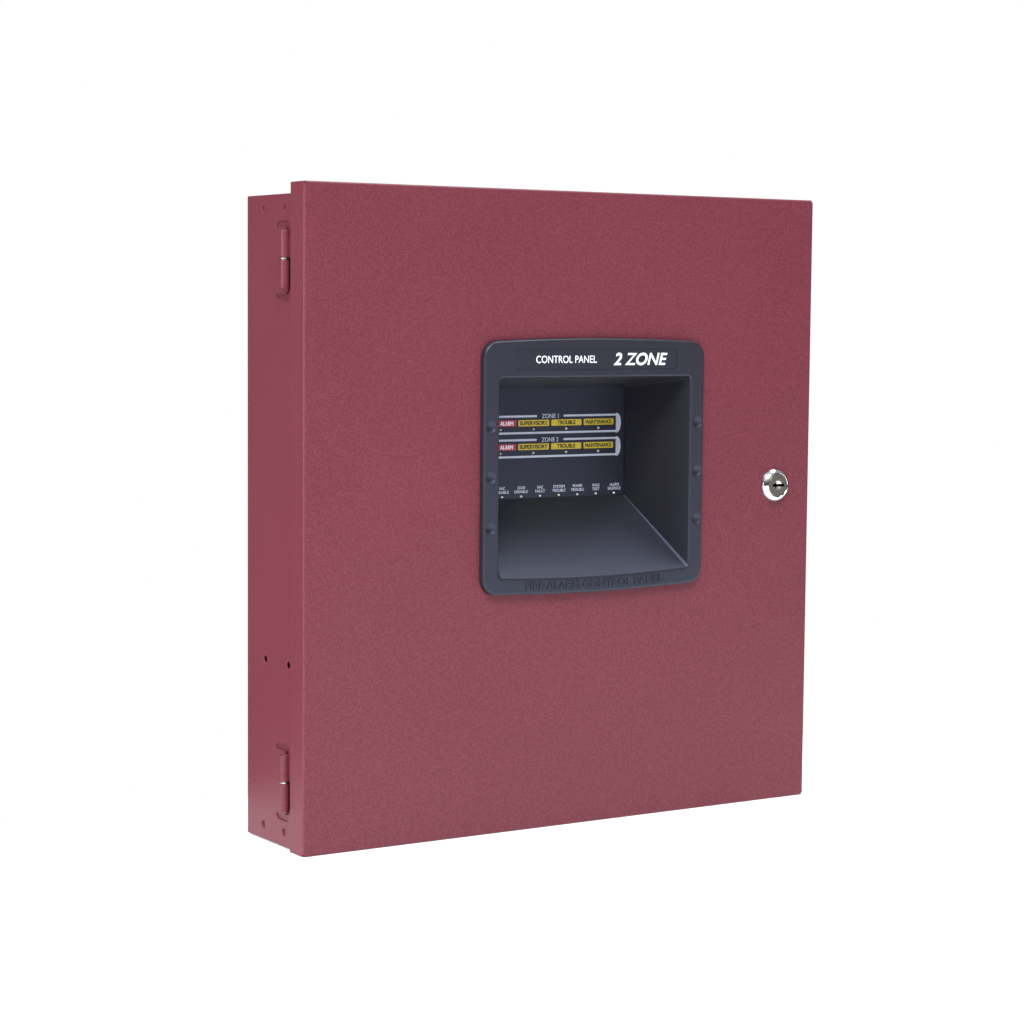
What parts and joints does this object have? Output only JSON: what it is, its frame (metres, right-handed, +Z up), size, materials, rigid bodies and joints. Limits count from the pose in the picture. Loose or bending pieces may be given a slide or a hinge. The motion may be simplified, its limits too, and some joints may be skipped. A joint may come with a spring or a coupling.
{
  "type": "fire alarm control panel",
  "caption": "Wall-mounted fire alarm control panel: red steel cabinet with a hinged, key-locked door, a black viewing bezel over the zone display, and its boards and batteries inside.",
  "frame": {"origin": "centre of the cabinet's back face, on the wall", "axes": "+X to the right as one faces the panel, +Y into the wall, +Z up"},
  "size_m": [0.3732, 0.0816, 0.388],
  "materials": {
    "red_paint": "fine-textured powder coat",
    "zinc_steel": "zinc plated",
    "chrome": "polished",
    "black_plastic": "fine moulded texture, satin",
    "label_film": "printed polyester film",
    "board_green": "solder mask",
    "battery_case": "moulded, satin",
    "terminal_green": "moulded, satin",
    "relay_black": "moulded, satin",
    "capacitor_sleeve": "shrunk film",
    "lamp_white": "translucent moulding",
    "copper_winding": "taped copper winding",
    "aluminium": "extruded",
    "glass": "clear",
    "red_wire": "wire insulation",
    "black_wire": "wire insulation",
    "button_grey": "moulded, satin"
  },
  "bodies": {
    "cabinet": {"cabinet": "red_paint", "hinge_plate_upper": "red_paint", "hinge_pin_upper": "zinc_steel", "hinge_washer_upper": "zinc_steel", "hinge_plate_lower": "red_paint", "hinge_pin_lower": "zinc_steel", "hinge_washer_lower": "zinc_steel", "main_board": "board_green", "board_standoff_1": "zinc_steel", "board_standoff_2": "zinc_steel", "board_standoff_3": "zinc_steel", "board_standoff_4": "zinc_steel", "terminal_strip_relays": "terminal_green", "terminal_strip_bells": "terminal_green", "terminal_strip_zones": "terminal_green", "terminal_strip_mains": "relay_black", "relay_alarm": "relay_black", "relay_trouble": "relay_black", "relay_supervisory": "relay_black", "filter_capacitor_1": "capacitor_sleeve", "filter_capacitor_2": "capacitor_sleeve", "heat_sink": "aluminium", "piezo_sounder": "black_plastic", "microcontroller": "relay_black", "battery_socket": "lamp_white", "fuse_holder": "relay_black", "fuse": "glass", "transformer_core": "zinc_steel", "transformer_winding": "copper_winding", "transformer_strap": "zinc_steel", "display_housing": "black_plastic", "display_label": "label_film", "display_board": "board_green", "light_pipes_zone_1": "lamp_white", "light_pipes_zone_2": "lamp_white", "light_pipes_system": "lamp_white", "battery_left": "battery_case", "battery_right": "battery_case", "battery_jumper": "black_wire", "battery_lead_black": "black_wire", "battery_lead_red": "red_wire"},
    "door": {"door_shell": "red_paint", "door_knuckle_upper": "red_paint", "door_knuckle_lower": "red_paint", "bezel": "black_plastic", "nameplate": "label_film", "bezel_strip_left": "zinc_steel", "bezel_strip_right": "zinc_steel", "lock_housing": "chrome", "lock_nut": "zinc_steel"},
    "lock": {"lock_plug": "chrome", "lock_cam": "zinc_steel", "cam_nut": "zinc_steel"},
    "button_acknowledge_body": {"button_acknowledge": "button_grey"},
    "button_silence_body": {"button_silence": "button_grey"},
    "button_drill_body": {"button_drill": "button_grey"},
    "button_reset_body": {"button_reset": "button_grey"}
  },
  "joints": [
    {"name": "door_hinge", "type": "hinge", "parent": "cabinet", "child": "door", "pos_m": [-0.1855, -0.0544, 0], "axis": [0, 0, -1], "range_deg": [0, 170]},
    {"name": "lock_turn", "type": "hinge", "parent": "door", "child": "lock", "pos_m": [0.1568, -0.0773, 0.0138], "axis": [0, -1, 0], "range_deg": [0, 90]},
    {"name": "button_acknowledge_press", "type": "slide", "parent": "cabinet", "child": "button_acknowledge_body", "axis": [0, 1, 0], "range_m": [0, 0.001], "stiffness_N_per_m": 800, "springref_m": -0.001},
    {"name": "button_silence_press", "type": "slide", "parent": "cabinet", "child": "button_silence_body", "axis": [0, 1, 0], "range_m": [0, 0.001], "stiffness_N_per_m": 800, "springref_m": -0.001},
    {"name": "button_drill_press", "type": "slide", "parent": "cabinet", "child": "button_drill_body", "axis": [0, 1, 0], "range_m": [0, 0.001], "stiffness_N_per_m": 800, "springref_m": -0.001},
    {"name": "button_reset_press", "type": "slide", "parent": "cabinet", "child": "button_reset_body", "axis": [0, 1, 0], "range_m": [0, 0.001], "stiffness_N_per_m": 800, "springref_m": -0.001}
  ]
}
